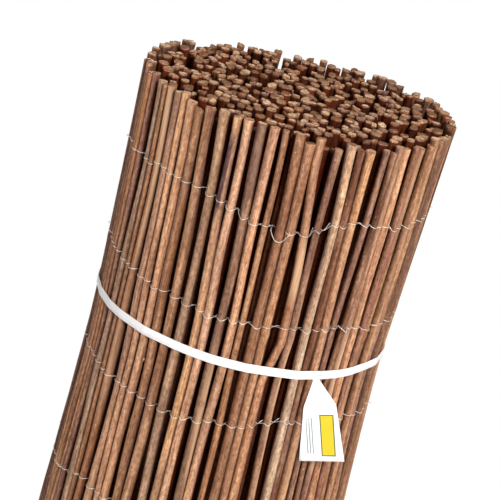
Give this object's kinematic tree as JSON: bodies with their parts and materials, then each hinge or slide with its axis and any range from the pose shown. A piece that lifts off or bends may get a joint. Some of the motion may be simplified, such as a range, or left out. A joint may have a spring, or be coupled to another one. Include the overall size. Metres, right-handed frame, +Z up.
{
  "type": "rolled wicker screen",
  "caption": "Fence screen of willow rods twined with wire, rolled up, bound with two flat straps and carrying a blank hang tag.",
  "frame": {"origin": "on the floor under the middle of the roll's bounding box", "axes": "+Z up along the rods, -Y towards the side with the hang tag to its right, +X to the right of that side"},
  "size_m": [0.2894, 0.2908, 1],
  "materials": {
    "willow_bark": "unpeeled bark, matt with a slight sheen",
    "galvanised_wire": "dull zinc",
    "white_strap": "satin",
    "tag_film": "smooth film"
  },
  "bodies": {
    "root": {"rods_outer_turn": "willow_bark", "rods_inner_turns": "willow_bark", "wire_row_1": "galvanised_wire", "wire_row_2": "galvanised_wire", "wire_row_3": "galvanised_wire", "wire_row_4": "galvanised_wire", "wire_row_5": "galvanised_wire", "wire_row_6": "galvanised_wire", "wire_row_7": "galvanised_wire", "wire_row_8": "galvanised_wire", "wire_row_9": "galvanised_wire", "strap_upper": "white_strap", "strap_lower": "white_strap", "hang_tag": "tag_film"}
  },
  "joints": []
}
